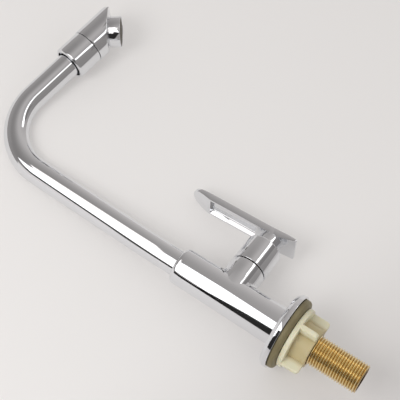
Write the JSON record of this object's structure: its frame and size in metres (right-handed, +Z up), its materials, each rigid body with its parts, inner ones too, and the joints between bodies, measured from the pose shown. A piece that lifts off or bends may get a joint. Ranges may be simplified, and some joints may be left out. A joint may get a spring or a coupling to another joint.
{
  "type": "kitchen tap",
  "caption": "Deck-mounted kitchen tap with a bent swivel spout, a swivel outlet head, a flat lever on a side branch and a threaded inlet shank with a fixing nut.",
  "frame": {"origin": "centre of the deck hole, on the top face of the deck", "axes": "+Z up along the tap body's axis, away from the deck; +X along the side branch, towards its lever; +Y completes a right-handed frame, and -Y is the side that the picture shows"},
  "size_m": [0.1595, 0.0687, 0.3076],
  "materials": {
    "chrome": "polished chrome plate",
    "brass": "machined brass",
    "steel": "plain stainless steel",
    "cream_nylon": "moulded nylon, satin",
    "olive_rubber": "moulded rubber, matt",
    "black_rubber": "rubber, matt",
    "ceramic": "lapped alumina ceramic, opaque",
    "white_plastic": "moulded plastic, satin",
    "screen_plastic": "moulded plastic, satin"
  },
  "bodies": {
    "tap_body": {"base_gasket": "olive_rubber", "base_flange": "chrome", "body_casting": "chrome", "inlet_shank": "brass", "shank_seal": "black_rubber", "seat_seal": "black_rubber", "fixed_disc": "ceramic", "headwork_bonnet": "brass", "bonnet_oring": "black_rubber"},
    "mounting_nut": {"mounting_nut": "cream_nylon"},
    "handle": {"handle_lever": "chrome", "handle_screw": "steel", "screw_plug": "chrome", "spindle": "brass", "spindle_oring": "black_rubber", "spindle_clip": "steel", "moving_disc": "ceramic"},
    "spout": {"spout_glide_ring": "white_plastic", "spout_tail": "brass", "spout_oring_lower": "black_rubber", "spout_oring_upper": "black_rubber", "spout_snap_ring": "steel", "spout_tube": "chrome", "head_sleeve": "chrome"},
    "outlet_head": {"mitre_head": "chrome", "head_oring": "black_rubber", "head_snap_ring": "steel", "nozzle_shell": "chrome", "aerator_washer": "black_rubber", "aerator_insert": "white_plastic", "outlet_screen": "screen_plastic"}
  },
  "joints": [
    {"name": "nut_travel", "type": "slide", "parent": "tap_body", "child": "mounting_nut", "axis": [0, 0, -1], "range_m": [0, 0.033]},
    {"name": "handle_turn", "type": "hinge", "parent": "tap_body", "child": "handle", "pos_m": [0, 0, 0.05], "axis": [1, 0, 0], "range_deg": [0, 90]},
    {"name": "spout_swivel", "type": "hinge", "parent": "tap_body", "child": "spout", "pos_m": [0, 0, 0.0888], "axis": [0, 0, 1], "continuous": true},
    {"name": "head_swivel", "type": "hinge", "parent": "spout", "child": "outlet_head", "pos_m": [0.09922, -0.02364, 0.24013], "axis": [0.9642, -0.2297, -0.1326], "continuous": true}
  ]
}
